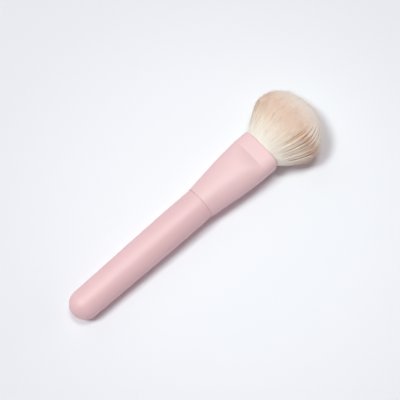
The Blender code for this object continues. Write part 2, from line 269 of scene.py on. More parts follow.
class StageSettings(bpy.types.PropertyGroup):
    """Light and camera."""

    lens: FloatProperty(name="Lens", description="Focal length in millimetres", default=85.0)
    distance: length("Camera distance", "Camera to the seam", 0.491)
    pitch: angle("Pitch", "Camera's lean from straight down", 18.8)
    swing: angle("Swing", "Turn of the picture against the brush", 42.1)
    picture_width: length("Picture width", "What the camera sees at the brush", 0.208)
    right_shift: share("Right shift", "Seam to the picture's middle, in picture widths", 0.0008)
    up_shift: share("Up shift", "Seam to the picture's middle, in picture widths", 0.0083)
    # A pool of light painted on the paper: its middle, its radius and the fade round it
    painted_light_right: share("Bright place right", "Middle of the pale paper, in picture widths", 0.12)
    painted_light_up: share("Bright place up", "Middle of the pale paper, in picture widths", -0.01)
    painted_light_radius: share("Bright place", "Radius of the palest paper, in picture widths", 0.15)
    painted_light_fade: share("Bright fade", "Over which the paper darkens, in picture widths", 0.75)
    lamp_distance: length("Lamp distance", "Lamps to the brush", 4.0)
    sky_share: share("Surroundings' share", "Of the light on the table", 0.21)


def lamp_settings(name, turn, lean, width, part):
    label = name.replace("_", " ").capitalize()
    return {
        f"{name}_turn": angle(f"{label} turn", "Against the picture's right", turn),
        f"{name}_lean": angle(f"{label} lean", "From straight above", lean),
        f"{name}_width": angle(f"{label} width", "As seen from the brush", width),
        f"{name}_share": share(f"{label} share", "Of the light on the table", part),
    }


# Turn, lean and width in degrees, and share of the light
LAMPS = {
    "side_lamp": (193, 25, 16, 0.50),
    "top_lamp": (52, 10, 14, 0.29),
    "low_lamp": (8, 72, 40, 0.040),
    "soft_box": (131, 44, 44, 0.08),
}

for lamp_name, values in LAMPS.items():
    StageSettings.__annotations__.update(lamp_settings(lamp_name, *values))


GROUPS = {
    "brush_handle": HandleSizes,
    "brush_ferrule": FerruleSizes,
    "brush_tuft": TuftSizes,
    "brush_colours": BrushColours,
    "brush_stage": StageSettings,
}


# Fields: numbers that a node tree works out


class Field:
    """A number in a node tree. A sum of fields adds the nodes that work it out."""

    def __init__(self, tree, socket):
        self.tree = tree
        self.socket = socket

    def works(self, operation, *others):
        return maths(self.tree, operation, self, *others)

    def works_after(self, operation, other):
        return maths(self.tree, operation, other, self)

    def clamped(self):
        return self.works("MINIMUM", 1.0).works("MAXIMUM", 0.0)

    __add__ = partialmethod(works, "ADD")
    __radd__ = partialmethod(works_after, "ADD")
    __sub__ = partialmethod(works, "SUBTRACT")
    __rsub__ = partialmethod(works_after, "SUBTRACT")
    __mul__ = partialmethod(works, "MULTIPLY")
    __rmul__ = partialmethod(works_after, "MULTIPLY")
    __truediv__ = partialmethod(works, "DIVIDE")
    __rtruediv__ = partialmethod(works_after, "DIVIDE")
    __pow__ = partialmethod(works, "POWER")


def maths(tree, operation, *values):
    node = tree.nodes.new("ShaderNodeMath")
    node.operation = operation
    for value, socket in zip(values, node.inputs):
        feed(tree, value, socket)
    return Field(tree, node.outputs["Value"])


def feed(tree, value, socket):
    """Links a field or socket, or sets a plain value."""
    if isinstance(value, Field):
        tree.links.new(value.socket, socket)
    elif isinstance(value, bpy.types.NodeSocket):
        tree.links.new(value, socket)
    else:
        socket.default_value = value


def feed_all(tree, node, inputs):
    for name, value in inputs.items():
        feed(tree, value, node.inputs[name])


def add_node(tree, kind, inputs=None, **settings):
    node = tree.nodes.new(kind)
    for name, value in settings.items():
        setattr(node, name, value)
    feed_all(tree, node, inputs or {})
    return node


def result(tree, kind, inputs=None, **settings):
    """The first output of a new node."""
    return add_node(tree, kind, inputs, **settings).outputs[0]


def vector(tree, x, y, z):
    return result(tree, "ShaderNodeCombineXYZ", {"X": x, "Y": y, "Z": z})


def parts_of(tree, socket):
    node = add_node(tree, "ShaderNodeSeparateXYZ", {"Vector": socket})
    return [Field(tree, output) for output in node.outputs]


def mix(first, second, part):
    return first + (second - first) * part


def between(value, start, end):
    """0 up to the start, 1 from the end on, and a straight run in between."""
    return ((value - start) / (end - start)).clamped()


def smooth(part):
    return part * part * (3 - 2 * part)


def eased(part, start_slope):
    """Runs from 0 to 1, leaving at the given slope and arriving level."""
    rest = 1 - part
    return start_slope * part * rest * rest + smooth(part)


# Geometry trees, meshes and pieces


def labelled(sizes, *names):
    """Sizes of a group as a tree's named inputs: Rim Bow for rim_bow."""
    return {name.replace("_", " ").title(): getattr(sizes, name) for name in names}


def new_tree(name, sizes):
    """A geometry tree with a named input for each size, and those inputs as fields."""
    tree = bpy.data.node_groups.new(name, "GeometryNodeTree")
    tree.interface.new_socket("Geometry", in_out="OUTPUT", socket_type="NodeSocketGeometry")
    for label, value in sizes.items():
        kind = "NodeSocketInt" if isinstance(value, int) else "NodeSocketFloat"
        tree.interface.new_socket(label, in_out="INPUT", socket_type=kind)
    tree.interface.new_socket("Finish", in_out="INPUT", socket_type="NodeSocketMaterial")
    entry = tree.nodes.new("NodeGroupInput")
    fields = {label: Field(tree, entry.outputs[label]) for label in sizes}
    return tree, fields, entry.outputs["Finish"]


def put_at(tree, geometry, x, y, z):
    """The geometry with its points at these places."""
    inputs = {"Geometry": geometry, "Position": vector(tree, x, y, z)}
    return result(tree, "GeometryNodeSetPosition", inputs)


def stored(tree, geometry, name, value, **settings):
    """The geometry with a named value on it."""
    inputs = {"Geometry": geometry, "Name": name, "Value": value}
    return result(tree, "GeometryNodeStoreNamedAttribute", inputs, **settings)


def flat_sheet(tree, rows, columns):
    """A sheet to roll up, its walk from 0 to 1 and its turn round the brush's axis."""
    inputs = {"Size X": 1.0, "Size Y": 1.0, "Vertices X": rows, "Vertices Y": columns}
    sheet = result(tree, "GeometryNodeMeshGrid", inputs)
    x, y, _ = parts_of(tree, result(tree, "GeometryNodeInputPosition"))
    return sheet, x + 0.5, (y + 0.5) * math.tau


def rolled_up(tree, sheet, x, y, z):
    """The sheet with its points at these places, joined where its edges meet."""
    inputs = {"Geometry": put_at(tree, sheet, x, y, z), "Distance": SHEET_JOIN}
    return result(tree, "GeometryNodeMergeByDistance", inputs)


def end_tree(tree, geometry, finish):
    """Every tree ends alike: smooth, made real and given its finish."""
    geometry = result(tree, "GeometryNodeSetShadeSmooth", {"Geometry": geometry})
    geometry = result(tree, "GeometryNodeRealizeInstances", {"Geometry": geometry})
    geometry = result(tree, "GeometryNodeSetMaterial", {"Geometry": geometry, "Material": finish})
    tree.links.new(geometry, tree.nodes.new("NodeGroupOutput").inputs[0])


def new_object(name, data):
    made = bpy.data.objects.new(name, data)
    bpy.context.scene.collection.objects.link(made)
    return made


def mesh_of_shape(name, shape):
    mesh = bpy.data.meshes.new(name)
    shape.to_mesh(mesh)
    shape.free()
    return mesh


def mesh_of_tree(name, tree, sizes, finish):
    """The plain mesh that a tree makes from these sizes."""
    holder = new_object(name, bpy.data.meshes.new(name))
    modifier = holder.modifiers.new(tree.name, "NODES")
    modifier.node_group = tree
    for item in tree.interface.items_tree:
        if item.in_out == "INPUT":
            modifier[item.identifier] = finish if item.name == "Finish" else sizes[item.name]
    graph = bpy.context.evaluated_depsgraph_get()
    mesh = bpy.data.meshes.new_from_object(holder.evaluated_get(graph))
    bpy.data.objects.remove(holder)
    return mesh


def finished_piece(name, mesh, slot, *nodes):
    """Lays a mesh on the table as a piece that stands for these nodes."""
    mesh.transform(PLACE)
    mesh.name = name
    piece = new_object(name, mesh)
    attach(piece, BODY)
    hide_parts(*nodes)


# Finishes


def new_finish(name):
    finish = bpy.data.materials.new(name)
    finish.use_nodes = True
    tree = finish.node_tree
    return finish, tree, tree.nodes["Principled BSDF"]


def own_coordinates(tree, stretch=(1.0, 1.0, 1.0)):
    """Object coordinates turned to the brush's own directions, then stretched."""
    place = add_node(tree, "ShaderNodeTexCoord").outputs["Object"]
    inputs = {"Vector": place, "Location": PLACE.translation, "Rotation": PLACE.to_euler()}
    turned = result(tree, "ShaderNodeMapping", inputs, vector_type="TEXTURE")
    return result(tree, "ShaderNodeMapping", {"Vector": turned, "Scale": stretch})


def noise(tree, place, scale=1.0, detail=2.0):
    inputs = {"Vector": place, "Scale": scale, "Detail": detail}
    return Field(tree, result(tree, "ShaderNodeTexNoise", inputs))


def mixed_colours(tree, part, first, second):
    node = tree.nodes.new("ShaderNodeMix")
    node.data_type = "RGBA"
    feed(tree, part, node.inputs["Factor"])
    colours = [socket for socket in node.inputs if socket.type == "RGBA"]
    for value, socket in zip((first, second), colours):
        feed(tree, value, socket)
    return next(socket for socket in node.outputs if socket.type == "RGBA")


def shades(tree, part, rgb, dark, light):
    """The colour from a darker to a lighter shade of it."""
    ends = [(*(min(channel * shade, 1.0) for channel in rgb), 1.0) for shade in (dark, light)]
    return mixed_colours(tree, part, *ends)


def bumped(tree, height, depth):
    inputs = {"Height": height, "Strength": 1.0, "Distance": depth}
    return result(tree, "ShaderNodeBump", inputs)


def satin_finish(name, rgb, cloud_scale, line_scales, spray_scale, ends, spread, line_share, depth):
    """Satin paint: soft clouds of colour, the lines of what it covers and the unevenness of a spray."""
    finish, tree, shader = new_finish(name)
    place = own_coordinates(tree)
    clouds = noise(tree, place, cloud_scale, 3.0)
    lines = noise(tree, own_coordinates(tree, line_scales))
    spray = noise(tree, place, spray_scale, 1.0)
    inputs = {
        "Base Color": shades(tree, clouds, rgb, *ends),
        "Roughness": 0.46 + clouds * spread,
        "Specular IOR Level": 0.95,
        "Normal": bumped(tree, lines * line_share + spray * (1 - line_share), depth),
    }
    feed_all(tree, shader, inputs)
    return finish


# How satin_finish is set: over the faint grain of wood, and over the lines of a drawn metal shell
LACQUERED_WOOD = (55.0, (30.0, 900.0, 900.0), 1500.0, (0.965, 1.03), 0.12, 0.45, 0.00002)
PAINTED_METAL = (70.0, (2600.0, 60.0, 60.0), 1700.0, (0.97, 1.025), 0.10, 0.4, 0.000015)


def hair_finish(colours):
    """Cream at the root, dyed a rosy tan, pale at the tip, by the place and tone of the hair map. The
    pale tip is partly painted light through the thin tips, and the deep brown of the lowest tones mostly
    painted shade.
    """
    finish, tree, shader = new_finish("soft_cream_hair")
    place, tone, _ = parts_of(tree, result(tree, "ShaderNodeUVMap", uv_map=HAIR_MAP))
    ramp = tree.nodes.new("ShaderNodeValToRGB")
    stops = ramp.color_ramp.elements
    stops[0].color = (*colours.root_hair, 1.0)
    stops[1].color = (*colours.tip_hair, 1.0)
    stops[1].position = 0.90
    stops.new(0.12).color = (*colours.root_hair, 1.0)
    stops.new(0.32).color = (*colours.middle_hair, 1.0)
    stops.new(0.52).color = (*colours.dyed_hair, 1.0)
    stops.new(0.60).color = (*colours.dyed_hair, 1.0)
    feed(tree, place, ramp.inputs[0])
    # The lowest tones turn a deep brown: mostly painted shade in the core's grooves between locks, and a
    # few randomly dark hairs
    deep, dark, light = [
        result(
            tree,
            "ShaderNodeHueSaturation",
            {"Color": ramp.outputs["Color"], "Saturation": saturation, "Value": value},
        )
        for saturation, value in ((2.3, 0.42), (1.25, 0.93), (0.8, 1.0))
    ]
    strand = mixed_colours(tree, smooth(tone), dark, light)
    inputs = {
        "Base Color": mixed_colours(tree, smooth((tone * 4.0).clamped()), deep, strand),
        "Roughness": 0.50 + tone * 0.15,
        "Specular IOR Level": 0.35,
        "Sheen Weight": 0.15,
        "Sheen Roughness": 0.4,
        "Subsurface Weight": 0.3,
        "Subsurface Scale": 0.001,
        "Subsurface Radius": (1.0, 0.8, 0.65),
    }
    feed_all(tree, shader, inputs)
    return finish


def thread_finish(rgb):
    """Waxed thread: a fine twist."""
    finish, tree, shader = new_finish("waxed_thread")
    strands = noise(tree, own_coordinates(tree, (2200.0, 700.0, 700.0)), detail=1.0)
    inputs = {
        "Base Color": shades(tree, strands, rgb, 0.82, 1.08),
        "Roughness": 0.65 + strands * 0.2,
        "Normal": bumped(tree, strands, 0.00006),
    }
    feed_all(tree, shader, inputs)
    return finish


def cast_finish(name, rgb, roughness):
    """Set resin or glue: slight streaks and small uneven sinks."""
    finish, tree, shader = new_finish(name)
    streaks = noise(tree, own_coordinates(tree, (90.0, 260.0, 260.0)), detail=3.0)
    sinks = noise(tree, own_coordinates(tree), 600.0, 1.0)
    inputs = {
        "Base Color": shades(tree, streaks, rgb, 0.85, 1.08),
        "Roughness": roughness + sinks * 0.15,
        "Normal": bumped(tree, sinks, 0.00004),
    }
    feed_all(tree, shader, inputs)
    return finish


def paper_finish(colours, stage):
    """Pale paper with a painted pool of light: lightest about a place near the brush, painted darker
    away from it.
    """
    finish, tree, shader = new_finish("pale_paper")
    x, y, _ = parts_of(tree, add_node(tree, "ShaderNodeTexCoord").outputs["Object"])
    right, _, _, table_up = look_directions(stage)
    # The middle of the painted pool of light, and how far out from it the paper is painted darker
    centre = (right * stage.painted_light_right + table_up * stage.painted_light_up) * stage.picture_width
    away = ((x - centre.x) ** 2 + (y - centre.y) ** 2).works("SQRT") / stage.picture_width
    spread = smooth(((away - stage.painted_light_radius) / stage.painted_light_fade).clamped())
    inputs = {
        "Base Color": mixed_colours(tree, spread, (*colours.floor, 1.0), (*colours.floor_in_painted_shade, 1.0)),
        "Roughness": 0.9,
        "Specular IOR Level": 0.1,
    }
    feed_all(tree, shader, inputs)
    return finish


# Handle


def handle_outline(sizes):
    """Radius and place along the axis, from the peg's end down to the butt's tip."""
    peg = sizes.tenon_diameter / 2
    floor = peg - sizes.groove_depth
    outline = [
        (0.0, sizes.tenon_length),
        (peg - sizes.tenon_chamfer, sizes.tenon_length),
        (peg, sizes.tenon_length - sizes.tenon_chamfer),
    ]
    for groove in range(sizes.groove_count):
        middle = sizes.tenon_length - sizes.groove_spacing * (groove + 1)
        edge = sizes.groove_width / 2
        outline += [(peg, middle + edge), (floor, middle + edge / 2)]
        outline += [(floor, middle - edge / 2), (peg, middle - edge)]
    outline.append((peg, -sizes.seam_gap))
    shoulder = sizes.shoulder_diameter / 2
    curve = sizes.shoulder_round
    start = -sizes.seam_gap - curve
    for turn in quarter_turns(SHOULDER_STEPS):
        side = shoulder - curve + curve * math.sin(turn)
        outline.append((side, start + curve * math.cos(turn)))
    swell = sizes.swell_diameter / 2
    butt = sizes.butt_diameter / 2
    for part in even_shares(SWELL_STEPS)[1:]:
        radius = mix(swell, shoulder, (1 - part) ** 2)
        outline.append((radius, mix(start, -sizes.swell_setback, part)))
    butt_centre = butt - sizes.length
    for part in even_shares(TAPER_STEPS)[1:]:
        radius = mix(butt, swell, eased(1 - part, sizes.start_share))
        outline.append((radius, mix(-sizes.swell_setback, butt_centre, part)))
    for turn in quarter_turns(BUTT_STEPS)[1:]:
        outline.append((butt * math.cos(turn), butt_centre - butt * math.sin(turn)))
    outline[-1] = (0.0, -sizes.length)
    return outline


def even_shares(steps):
    return [step / steps for step in range(steps + 1)]


def quarter_turns(steps):
    return [math.pi / 2 * part for part in even_shares(steps)]


def turned_mesh(name, outline, steps):
    """Turns an outline round the brush's axis."""
    shape = bmesh.new()
    rim = [shape.verts.new((along, 0.0, radius)) for radius, along in outline]
    edges = [shape.edges.new(pair) for pair in zip(rim, rim[1:])]
    axis = {"cent": (0, 0, 0), "axis": (1, 0, 0), "angle": math.tau}
    bmesh.ops.spin(shape, geom=rim + edges, steps=steps, use_merge=True, **axis)
    bmesh.ops.remove_doubles(shape, verts=shape.verts, dist=OUTLINE_JOIN)
    bmesh.ops.recalc_face_normals(shape, faces=shape.faces)
    mesh = mesh_of_shape(name, shape)
    mesh.shade_smooth()
    mesh.set_sharp_from_angle(angle=SHARP_EDGE)
    return mesh


class BRUSH_OT_handle(bpy.types.Operator):
    """Turn the lacquered handle with its peg."""

    bl_idname = "makeup_brush.handle"
    bl_label = "Handle"

    def execute(self, context):
        outline = handle_outline(context.scene.brush_handle)
        mesh = turned_mesh("lacquered_handle", outline, HANDLE_STEPS)
        rgb = context.scene.brush_colours.lacquer
        mesh.materials.append(satin_finish("satin_pink_lacquer", rgb, *LACQUERED_WOOD))
        finished_piece("lacquered_handle", mesh, "handle_lacquer", "handle")
        return {"FINISHED"}


# Ferrule


def ferrule_tree(sizes):
    """A sheet of points, rolled up and joined: outside to the lip, round it, and back inside."""
    tree, size, finish = new_tree("ferrule_shell", sizes)
    sheet, walk, turn = flat_sheet(tree, size["Points Along"], size["Points Round"])
    outward = between(walk, 0.0, LIP_START)
    lip_turn = between(walk, LIP_START, LIP_END) * math.pi
    homeward = between(walk, LIP_END, COLLAR_START)
    collar_turn = between(walk, COLLAR_START, 1.0) * math.pi
    wall = size["Wall"]
    bulge = wall / 2
    start = size["Edge Round"]
    station = start + (size["Length"] - bulge - start) * (outward - homeward)
    depth = wall * ((1 - lip_turn.works("COSINE")) / 2)
    depth = depth - wall * ((1 - collar_turn.works("COSINE")) / 2)
    rounding = bulge * lip_turn.works("SINE") - start * collar_turn.works("SINE")
    half_width, half_thickness, power = ferrule_section(size, station)
    across = squared(turn.works("COSINE"), power)
    upward = squared(turn.works("SINE"), power)
    bow = size["Rim Bow"] * near_mouth(size, station, size["Band Length"]) * upward * upward
    along = station + rounding + bow
    wide = (half_width - depth) * across
    thin = (half_thickness - depth) * upward
    end_tree(tree, rolled_up(tree, sheet, along, wide, thin), finish)
    return tree


def squared(direction, power):
    """A cosine or sine drawn out towards the corners of a squared oval."""
    return direction.works("SIGN") * direction.works("ABSOLUTE") ** (2 / power)


def near_mouth(size, station, length):
    """0 up to this length behind the mouth, 1 at the mouth."""
    return ((station - (size["Length"] - length)) / length).clamped()


def ferrule_section(size, station):
    """Outer half width, half thickness and squareness at a distance from the seam."""
    pinch_start = size["Length"] - size["Band Length"] - size["Pinch Length"]
    flare = eased((station / size["Flare Length"]).clamped(), size["Flare Start Share"])
    body = (station / pinch_start).clamped()
    slope = ((station - pinch_start) / size["Pinch Length"]).clamped() ** size["Pinch Lean"]
    pinch = mix(smooth(slope), slope, size["Band Crease"])
    lip = near_mouth(size, station, size["Lip Length"])
    turn = size["Lip Turn"] * (1 - (1 - lip * lip).works("SQRT"))
    width = mix(size["Collar Diameter"], size["Mouth Width"], flare)
    body_thickness = mix(size["Collar Diameter"], size["Body Thickness"], smooth(body))
    thickness = mix(body_thickness, size["Band Thickness"], pinch)
    power = mix(mix(2.0, size["Body Power"], body * body), size["Band Power"], pinch)
    return width / 2 - turn, thickness / 2 - turn, power


def ferrule_sizes(sizes):
    return {
        **labelled(sizes, *FerruleSizes.__annotations__),
        "Length": RIM_REACH - sizes.rim_bow,
        "Points Along": 251,
        "Points Round": 161,
    }


class BRUSH_OT_ferrule(bpy.types.Operator):
    """Draw, flare and pinch the metal ferrule."""

    bl_idname = "makeup_brush.ferrule"
    bl_label = "Ferrule"

    def execute(self, context):
        sizes = ferrule_sizes(context.scene.brush_ferrule)
        rgb = context.scene.brush_colours.metal
        finish = satin_finish("satin_pink_metal", rgb, *PAINTED_METAL)
        mesh = mesh_of_tree("painted_ferrule", ferrule_tree(sizes), sizes, finish)
        finished_piece("painted_ferrule", mesh, "ferrule_metal", "ferrule")
        return {"FINISHED"}


# Glue, resin and thread inside the ferrule


class BRUSH_OT_inner_pieces(bpy.types.Operator):
    """Give the packed glue, resin block and thread their finishes."""

    bl_idname = "makeup_brush.inner_pieces"
    bl_label = "Glue, Resin and Thread"

    def execute(self, context):
        colours = context.scene.brush_colours
        finishes = {
            "handle_glue": cast_finish("amber_adhesive", colours.adhesive, 0.30),
            "root_plug": cast_finish("clear_amber_resin", colours.resin, 0.18),
            "root_binding": thread_finish(colours.thread),
        }
        for node, finish in finishes.items():
            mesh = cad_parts[node].data
            mesh.materials.clear()
            mesh.materials.append(finish)
        return {"FINISHED"}


# Tuft

# Side hairs lie on the core, tip hairs stand out of its dome
SIDE_LAYERS = ("hair_underlayer", "hair_top_layer")
SIDE_HAIRS = 700
SIDE_POINTS = 9
TIP_LAYERS = ("hair_tips_inner", "hair_tips_middle", "hair_tips_outer")
TIP_HAIRS = 5500
TIP_POINTS = 4


def random_number(tree, number, seed):
    inputs = {"Vector": vector(tree, number, seed, 0.0)}
    return Field(tree, result(tree, "ShaderNodeTexWhiteNoise", inputs, noise_dimensions="2D"))


def lock_cells(tree, across, upward, flatness, scale, seed, **settings):
    """Cells over the bundle, seen along the hair: one for each lock."""
    inputs = {"Vector": vector(tree, across + seed, upward * flatness, 0.0), "Scale": scale}
    return add_node(tree, "ShaderNodeTexVoronoi", inputs, voronoi_dimensions="2D", **settings).outputs


def lock_centre(tree, across, upward, flatness, scale, seed):
    """The middle of the lock that a hair belongs to, and two random numbers of that lock."""
    cells = lock_cells(tree, across, upward, flatness, scale, seed)
    x, y, _ = parts_of(tree, cells["Position"])
    first, second, _ = parts_of(tree, cells["Color"])
    return x - seed, y / flatness, first, second


def lock_edge(tree, across, upward, flatness, scale, seed):
    """0 where two locks part, 1 well inside a lock."""
    cells = lock_cells(tree, across, upward, flatness, scale, seed, feature="DISTANCE_TO_EDGE")
    return smooth((Field(tree, cells["Distance"]) * 7.0).clamped())


def parted_share(across, upward):
    """1 on the used side of the tuft, where its hair parts into locks, and 0 away from it."""
    return smooth(((-0.22 - across) / 0.50).clamped()) * smooth((upward * 1.2 + 0.9).clamped())


def core_radius(size, across, upward):
    return size["Core Radius"] - size["Core Hollow"] * parted_share(across, upward)


def dome_angle(size, radius):
    """The angle round the dome from its tip at which a hair ends: past a right angle at the rim."""
    spread = radius * (1.25 - 0.25 * radius * radius)
    return spread.works("MINIMUM", 1.0).works("ARCSINE") * size["Dome Turn"]


def hair_end(size, radius):
    """How long a hair at this radius of the bundle is cut."""
    return size["Reach"] + size["Dome Length"] * dome_angle(size, radius).works("COSINE")


def strand_place(size, across, upward, end_share):
    """Where a hair that starts at this place of the bundle is, at a share of its own length."""
    radius = (across * across + upward * upward).works("SQRT")
    inner = radius.works("MINIMUM", 1.0)
    gain = dome_angle(size, inner).works("SINE") / inner.works("MAXIMUM", LEAST_RADIUS)
    end = hair_end(size, inner) * (1.0 + size["Skew"] * across)
    run = end * end_share
    past_mouth = run - size["Root Depth"]
    end_past_mouth = end - size["Root Depth"]

    def half_size(mouth, slope, dome, bent):
        """Straight on from the mouth, and drawn in to the dome towards the end."""
        straight_end = mouth + slope * end_past_mouth
        return mouth + slope * past_mouth - (straight_end - dome * gain) * bent

    slope = size["Wide Slope"] * (1.0 - size["Used Side Splay"] * across)
    wide = half_size(size["Wide Mouth"], slope, size["Half Width"], end_share ** (3.0 + across))
    slope = size["Thin Slope"]
    thin = half_size(size["Thin Mouth"], slope, size["Half Thickness"], end_share * end_share)
    return run, across * wide, upward * thin


def hair_tree(sizes):
    """Hairs in a sunflower pattern, drawn into locks towards their tips and cut to a dome."""
    tree, size, finish = new_tree("hair_bundle", sizes)
    per_hair = size["Points per Hair"]
    points = result(tree, "GeometryNodePoints", {"Count": size["Hairs"] * per_hair})
    index = Field(tree, result(tree, "GeometryNodeInputIndex"))
    number = ((index + 0.5) / per_hair).works("FLOOR")
    part = mix(size["Start Share"], 1.0, (index - number * per_hair) / (per_hair - 1))
    seed = size["Seed"]
    planted = number + size["First Hair"]
    loose, own_x, own_y, cut, hair_tone, rise = [
        random_number(tree, planted, seed + own_seed) for own_seed in HAIR_SEEDS
    ]
    loose = loose ** 8.0
    turned = planted * SUNFLOWER_TURN
    aside = turned.works("COSINE")
    upright = turned.works("SINE")
    rim = core_radius(size, aside, upright)
    on_side = size["On the Side"]
    inner = mix(rim, 1.0, 0.5) * on_side
    ring = (planted + 0.5) / size["All Hairs"]
    radius = mix(inner * inner, 1.0, ring).works("SQRT")
    across = radius * aside
    upward = radius * upright

    flatness = size["Half Thickness"] / size["Half Width"]
    start = (tree, across, upward, flatness)
    fine_x, fine_y, fine_tone, fine_length = lock_centre(*start, size["Fine Scale"], seed)
    lock_x, lock_y, lock_tone, lock_turn = lock_centre(*start, size["Lock Scale"], seed + LOCK_SEED)
    parted = parted_share(across, upward)
    grown = smooth((part * 1.5).clamped())
    fine_pull = (size["Fine Pull"] + 0.30 * parted) * part
    parting = size["Parted Pull"] * parted * mix(0.4, 1.0, on_side)
    lock_pull = (size["Coarse Pull"] + parting) * (0.65 + 0.35 * lock_tone)
    x = mix(across, fine_x, fine_pull)
    y = mix(upward, fine_y, fine_pull)
    x = mix(x, lock_x, lock_pull * grown)
    y = mix(y, lock_y, lock_pull * grown)

    drift_place = vector(tree, across * 3.0, upward * 3.0 * flatness, part * 0.8 + seed)
    drift = add_node(tree, "ShaderNodeTexNoise", {"Vector": drift_place, "Scale": 1.0})
    drift_x, drift_y, _ = parts_of(tree, drift.outputs["Color"])
    stray = size["Wander"] * part
    own_stray = 0.8 + 7.0 * loose
    x = x + stray * ((drift_x - 0.5) * 2.5 + (own_x - 0.5) * own_stray)
    y = y + stray * ((drift_y - 0.5) * 2.5 + (own_y - 0.5) * own_stray)
    swirl = (lock_turn - 0.5) * grown * parted * 0.10
    x, y = x - y * swirl, y + x * swirl

    reach = (x * x + y * y).works("SQRT").works("MAXIMUM", LEAST_RADIUS)
    limit = 1.0 + 0.07 * loose * ((y + 0.3) * 2.0).clamped() * part
    shown = reach.works("MAXIMUM", mix(rim, 1.0, 0.2) * on_side)
    risen = smooth(((part - 0.75 * rise) / 0.2).clamped())
    buried = 1.0 - (1.0 - 0.97 * rim) * (1.0 - risen) * on_side
    held = limit.works("MINIMUM", shown) * buried / reach
    x = x * held
    y = y * held
    short = size["Raggedness"] * (cut * cut * 1.2 + fine_length * 0.6)
    short = short - size["Reach Past"] - 0.045 * loose
    run, wide, thin = strand_place(size, x, y, part * (1.0 - short))
    thin = thin.works("MAXIMUM", size["Hair Diameter"] - size["Half Thickness"])
    hairs = put_at(tree, points, size["Root Start"] + run, wide, thin)
    jitter = (fine_tone - 0.5) * 0.14 + (hair_tone - 0.5) * 0.12 + (lock_tone - 0.5) * 0.08
    tone = hair_tone * 0.45 + fine_tone * 0.35 + lock_tone * 0.20
    # Painted light: the used side's hairs are made lighter against the shade on that side
    tone = mix(tone, 1.0, parted * 0.25)
    hairs = stored(tree, hairs, "colour_place", dye_place(size, run, jitter, parted))
    hairs = stored(tree, hairs, "tone", tone)
    hairs = result(tree, "GeometryNodePointsToCurves", {"Points": hairs, "Curve Group ID": number})
    section = {"Resolution": 3, "Radius": size["Hair Diameter"] / 2}
    section = result(tree, "GeometryNodeCurvePrimitiveCircle", section)
    round_share = result(tree, "GeometryNodeSplineParameter")
    inputs = {
        "Curve": hairs,
        "Profile Curve": stored(tree, section, "round_share", round_share),
        "Scale": 0.75 + 0.25 * smooth((part * 3.0).clamped()) - 0.6 * part ** 8.0,
        "Fill Caps": True,
    }
    mesh = result(tree, "GeometryNodeCurveToMesh", inputs)
    place, tone, turn = [
        Field(tree, result(tree, "GeometryNodeInputNamedAttribute", {"Name": name}))
        for name in ("colour_place", "tone", "round_share")
    ]
    end_tree(tree, mapped(tree, mesh, place, tone * 0.9 + turn * 0.1), finish)
    return tree


def dye_place(size, run, jitter, parted):
    """How far past the mouth, as a share of the tuft: unevenly dyed, and paler on the used side, partly
    faded dye and partly painted light on that shaded side.
    """
    past_mouth = (run - size["Root Depth"]) / size["Tuft Length"]
    # Paler towards the tips on the used side: partly faded dye, partly painted light on that shaded side
    dye_fade_and_painted_light = 0.38 * parted * smooth(((past_mouth - 0.40) * 2.2).clamped())
    return (past_mouth + dye_fade_and_painted_light + jitter * smooth((past_mouth * 3.0).clamped())).clamped()


def mapped(tree, mesh, place, tone):
    """The mesh with its hair map: the dye's place across, the hair's tone up."""
    value = vector(tree, place, tone, 0.0)
    return stored(tree, mesh, HAIR_MAP, value, data_type="FLOAT2", domain="CORNER")


def core_tree(sizes):
    """The pressed mass of hair under the loose ones: a closed form from the roots to the dome."""
    tree, size, finish = new_tree("hair_core", sizes)
    sheet, walk, turn = flat_sheet(tree, size["Core Rows"], size["Core Columns"])
    aside = turn.works("COSINE")
    upright = turn.works("SINE")
    base = between(walk, 0.0, BASE_END)
    side = between(walk, BASE_END, SIDE_END)
    dome = between(walk, SIDE_END, 1.0)
    spread = base * (dome * (math.pi / 2)).works("COSINE")
    rim = core_radius(size, aside, upright)
    flatness = size["Half Thickness"] / size["Half Width"]
    seed = size["Seed"]
    edge = lock_edge(
        tree, aside * 0.97, upright * 0.97, flatness, size["Lock Scale"], seed + LOCK_SEED
    )
    parted = parted_share(aside * spread, upright * spread)
    across = aside * spread * rim
    upward = upright * spread * rim
    flat_place = vector(tree, across, upward * flatness, seed)
    strands = noise(tree, flat_place, 150.0, 1.0) - 0.5
    locks = noise(tree, flat_place, 44.0, 1.0) - 0.5
    groove = parted * (1 - edge) * smooth(((side - 0.12) * 1.6).clamped())
    swell = 1.0 + (0.005 * strands + 0.010 * locks) * side - 0.085 * groove
    core_end = hair_end(size, spread.works("MAXIMUM", 0.0)) * size["Core Share"]
    share_here = side * core_end / hair_end(size, spread * rim)
    run, wide, thin = strand_place(size, across * swell, upward * swell, share_here)
    jitter = locks * 0.30 + strands * 0.20
    tone = 0.68 + strands + locks * 0.9
    # Painted light and shade: the used side's core is made lighter against its shade, and the grooves
    # between its locks get a low tone, painted shade
    tone = (tone + 0.20 * parted - 1.75 * groove).clamped()
    sheet = mapped(tree, sheet, dye_place(size, run, jitter, parted), tone)
    end_tree(tree, rolled_up(tree, sheet, size["Root Start"] + run, wide, thin), finish)
    return tree


